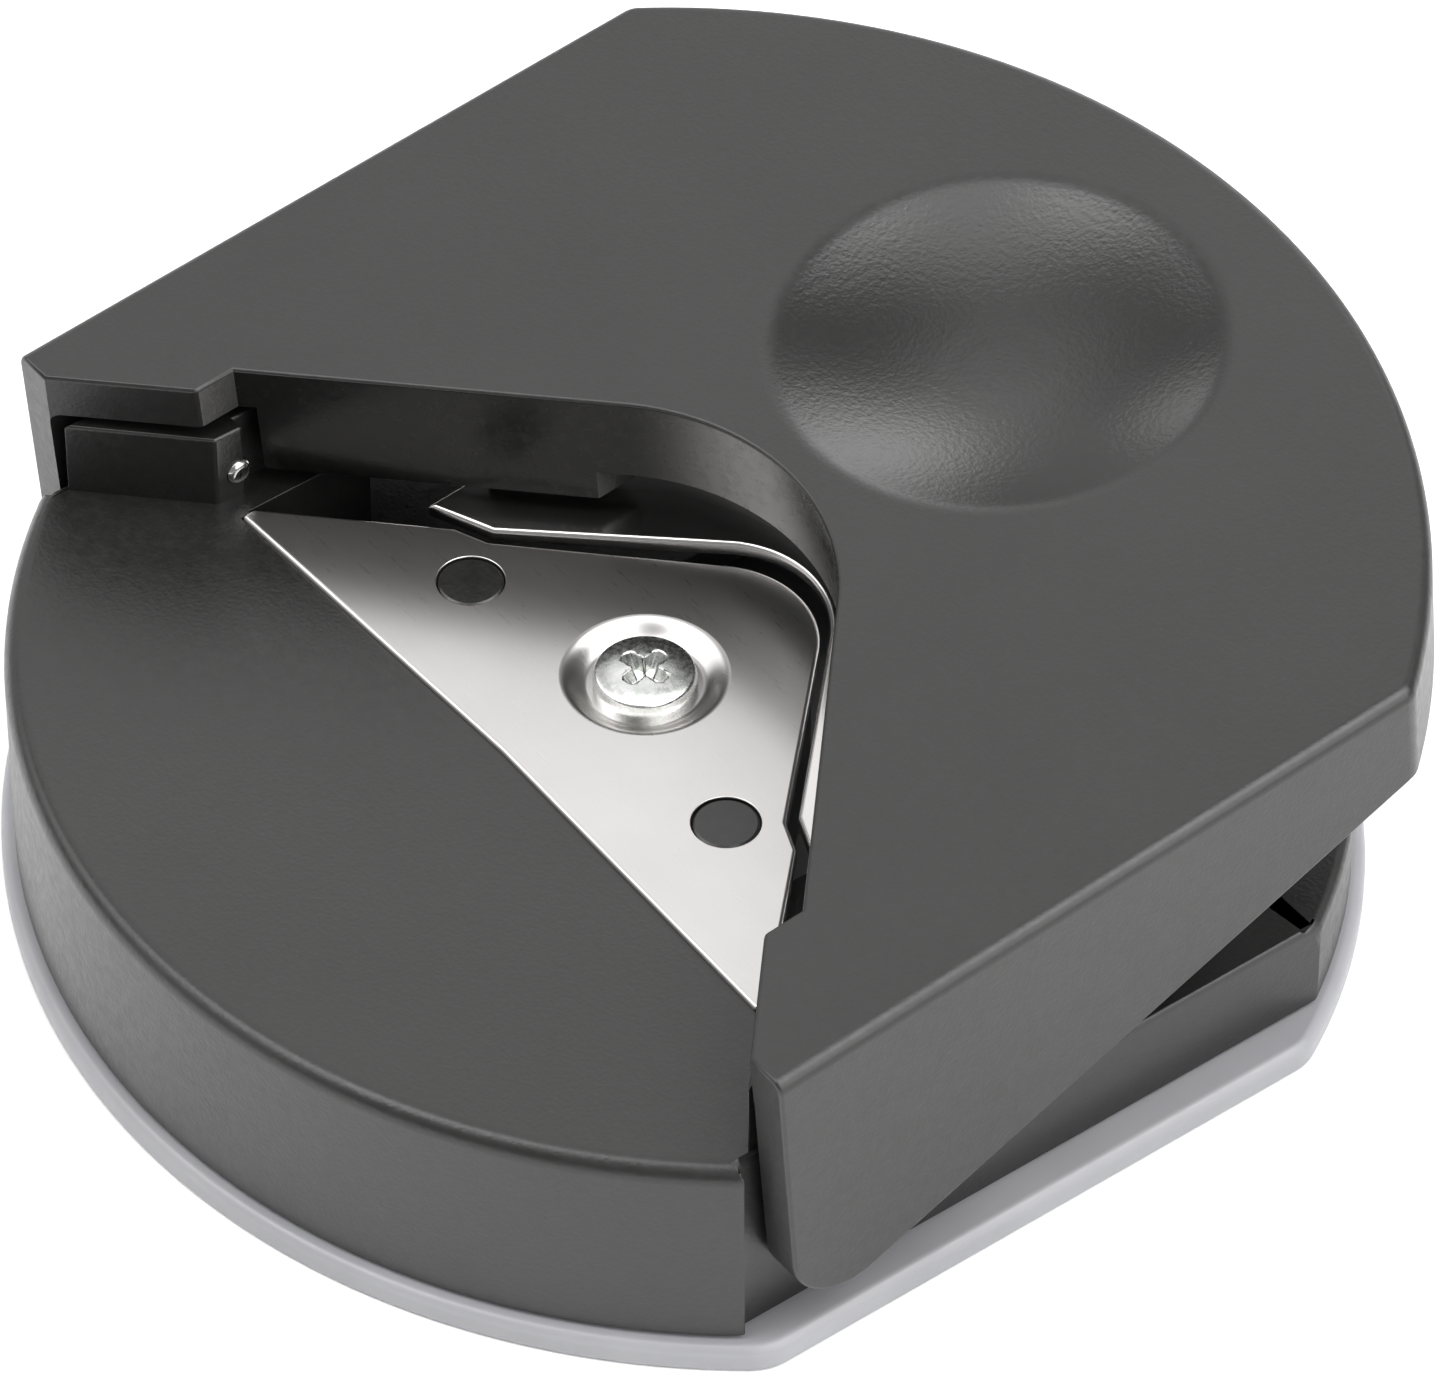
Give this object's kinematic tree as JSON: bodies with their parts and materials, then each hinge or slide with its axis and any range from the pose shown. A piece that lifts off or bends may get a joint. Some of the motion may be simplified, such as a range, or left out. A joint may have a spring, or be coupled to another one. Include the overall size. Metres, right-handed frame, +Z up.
{
  "type": "corner rounder",
  "caption": "Thumb-pressed corner rounding punch for paper and card: hinged cover with V notch, steel die and punch plates, waste tray below.",
  "frame": {"origin": "middle of the underside of the tray, on the plane the tool stands on", "axes": "+X to the tool's right seen from the paper side, +Y from the paper side towards the thumb, +Z up"},
  "size_m": [0.053, 0.0586, 0.0212],
  "materials": {
    "base_black": "satin, fine moulded grain",
    "cover_black": "satin, fine moulded grain, polished notch wall and dimple",
    "holder_black": "plain moulded",
    "die_steel": "bright rolled sheet",
    "punch_steel": "bright rolled sheet",
    "screw_zinc": "bright zinc plate",
    "pin_steel": "bright drawn wire",
    "spring_steel": "spring wire",
    "tray_translucent": "translucent, smooth"
  },
  "bodies": {
    "base": {"base_body": "base_black", "die_plate": "die_steel", "die_screw": "screw_zinc", "hinge_pins": "pin_steel", "return_spring_left": "spring_steel", "return_spring_right": "spring_steel"},
    "lever": {"top_cover": "cover_black", "punch_holder": "holder_black", "punch_plate": "punch_steel", "punch_screws": "screw_zinc"},
    "tray": {"waste_tray": "tray_translucent"}
  },
  "joints": [
    {"name": "lever_press", "type": "hinge", "parent": "base", "child": "lever", "pos_m": [0, -0.01, 0.0125], "axis": [-1, 0, 0], "range_deg": [0, 8], "stiffness_Nm_per_rad": 0.5, "springref_deg": -8.59, "deforming": ["return_spring_left", "return_spring_right"]},
    {"name": "tray_release", "type": "slide", "parent": "tray", "child": "base", "axis": [0, 0, 1], "range_m": [0, 0.015]}
  ]
}
